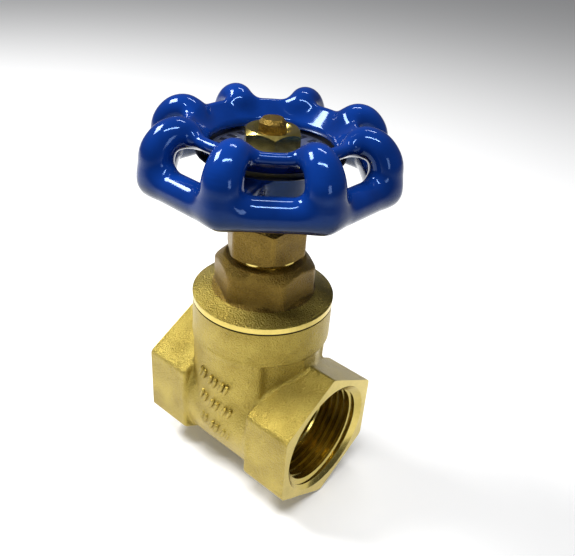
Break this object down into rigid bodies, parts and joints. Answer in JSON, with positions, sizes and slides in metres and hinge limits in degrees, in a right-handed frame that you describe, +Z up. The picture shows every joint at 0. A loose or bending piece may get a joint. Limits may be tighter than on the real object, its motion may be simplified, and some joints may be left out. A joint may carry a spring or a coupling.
{
  "type": "gate valve",
  "caption": "Brass screwed-bonnet gate valve with threaded pipe ends, a non-rising stem, an inner wedge gate and a blue looped handwheel.",
  "frame": {"origin": "where the stem axis crosses the pipe axis, at the centre of the waterway", "axes": "+Z up the stem towards the handwheel, X along the pipe, +X out of one threaded end"},
  "size_m": [0.053, 0.053, 0.092],
  "materials": {
    "cast_brass": "fine cast grain",
    "machined_brass": "turned",
    "blue_coat": "glossy dip coat",
    "plate_aluminium": "satin with dark print",
    "gasket_fibre": "matt",
    "packing": "matt"
  },
  "bodies": {
    "valve_body": {"body": "cast_brass", "bonnet_gasket": "gasket_fibre", "bonnet": "cast_brass", "thrust_washer": "machined_brass", "packing_ring_1": "packing", "packing_ring_2": "packing", "packing_ring_3": "packing", "gland": "machined_brass", "packing_nut": "cast_brass"},
    "gate": {"gate": "machined_brass"},
    "wheel_and_stem": {"stem": "machined_brass", "handwheel": "blue_coat", "name_plate": "plate_aluminium", "handwheel_nut": "machined_brass"}
  },
  "joints": [
    {"name": "handwheel_spin", "type": "hinge", "parent": "valve_body", "child": "wheel_and_stem", "pos_m": [0, 0, 0.0652], "axis": [0, 0, 1], "range_deg": [-2160, 0]},
    {"name": "gate_slide", "type": "slide", "parent": "valve_body", "child": "gate", "axis": [0, 0, 1], "range_m": [-0.0192, 0]}
  ],
  "couplings": [
    {"joint": "gate_slide", "follows": "handwheel_spin", "m_per_rad": 0.00050929}
  ]
}
